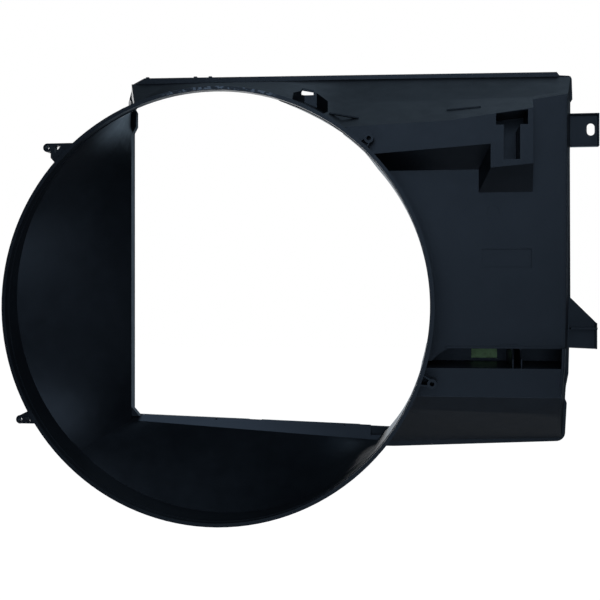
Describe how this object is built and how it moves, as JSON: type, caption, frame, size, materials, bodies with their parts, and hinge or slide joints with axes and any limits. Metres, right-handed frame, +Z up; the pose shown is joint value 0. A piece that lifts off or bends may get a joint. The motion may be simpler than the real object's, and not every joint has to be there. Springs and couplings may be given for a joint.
{
  "type": "radiator fan shroud",
  "caption": "Black moulded shroud: a round fan ring whose funnel narrows to the radiator's edge, beside a shallow plenum with a tank seat, a T-slotted block, a foot channel and mounting tabs.",
  "frame": {"origin": "on the fan axis, in the middle of the fan ring's 10 mm land", "axes": "+X to the right seen from the engine, +Y from the engine to the radiator, +Z up"},
  "size_m": [0.6973, 0.15, 0.5441],
  "materials": {
    "shroud_black": "satin moulded polypropylene",
    "pad_green": "matt grey-green"
  },
  "bodies": {
    "root": {"fan_ring": "shroud_black", "funnel_left": "shroud_black", "funnel_bottom": "shroud_black", "window_sill": "shroud_black", "top_deck": "shroud_black", "clip_pocket": "shroud_black", "raised_band": "shroud_black", "band_soffit": "shroud_black", "hook_block": "shroud_black", "hook_pocket": "shroud_black", "tank_seat": "shroud_black", "foot_channel": "shroud_black", "channel_ribs": "shroud_black", "foot_pocket": "shroud_black", "foot_pad": "pad_green", "tank_ledge": "shroud_black", "lower_deck": "shroud_black", "side_wall": "shroud_black", "flange_top": "shroud_black", "flange_bottom": "shroud_black", "flange_left": "shroud_black", "flange_right": "shroud_black", "upper_mount_tab": "shroud_black", "lower_gusset_bracket": "shroud_black", "guard_boss_upper": "shroud_black", "guard_boss_lower": "shroud_black", "guard_ear_upper": "shroud_black", "guard_ear_lower": "shroud_black"}
  },
  "joints": []
}
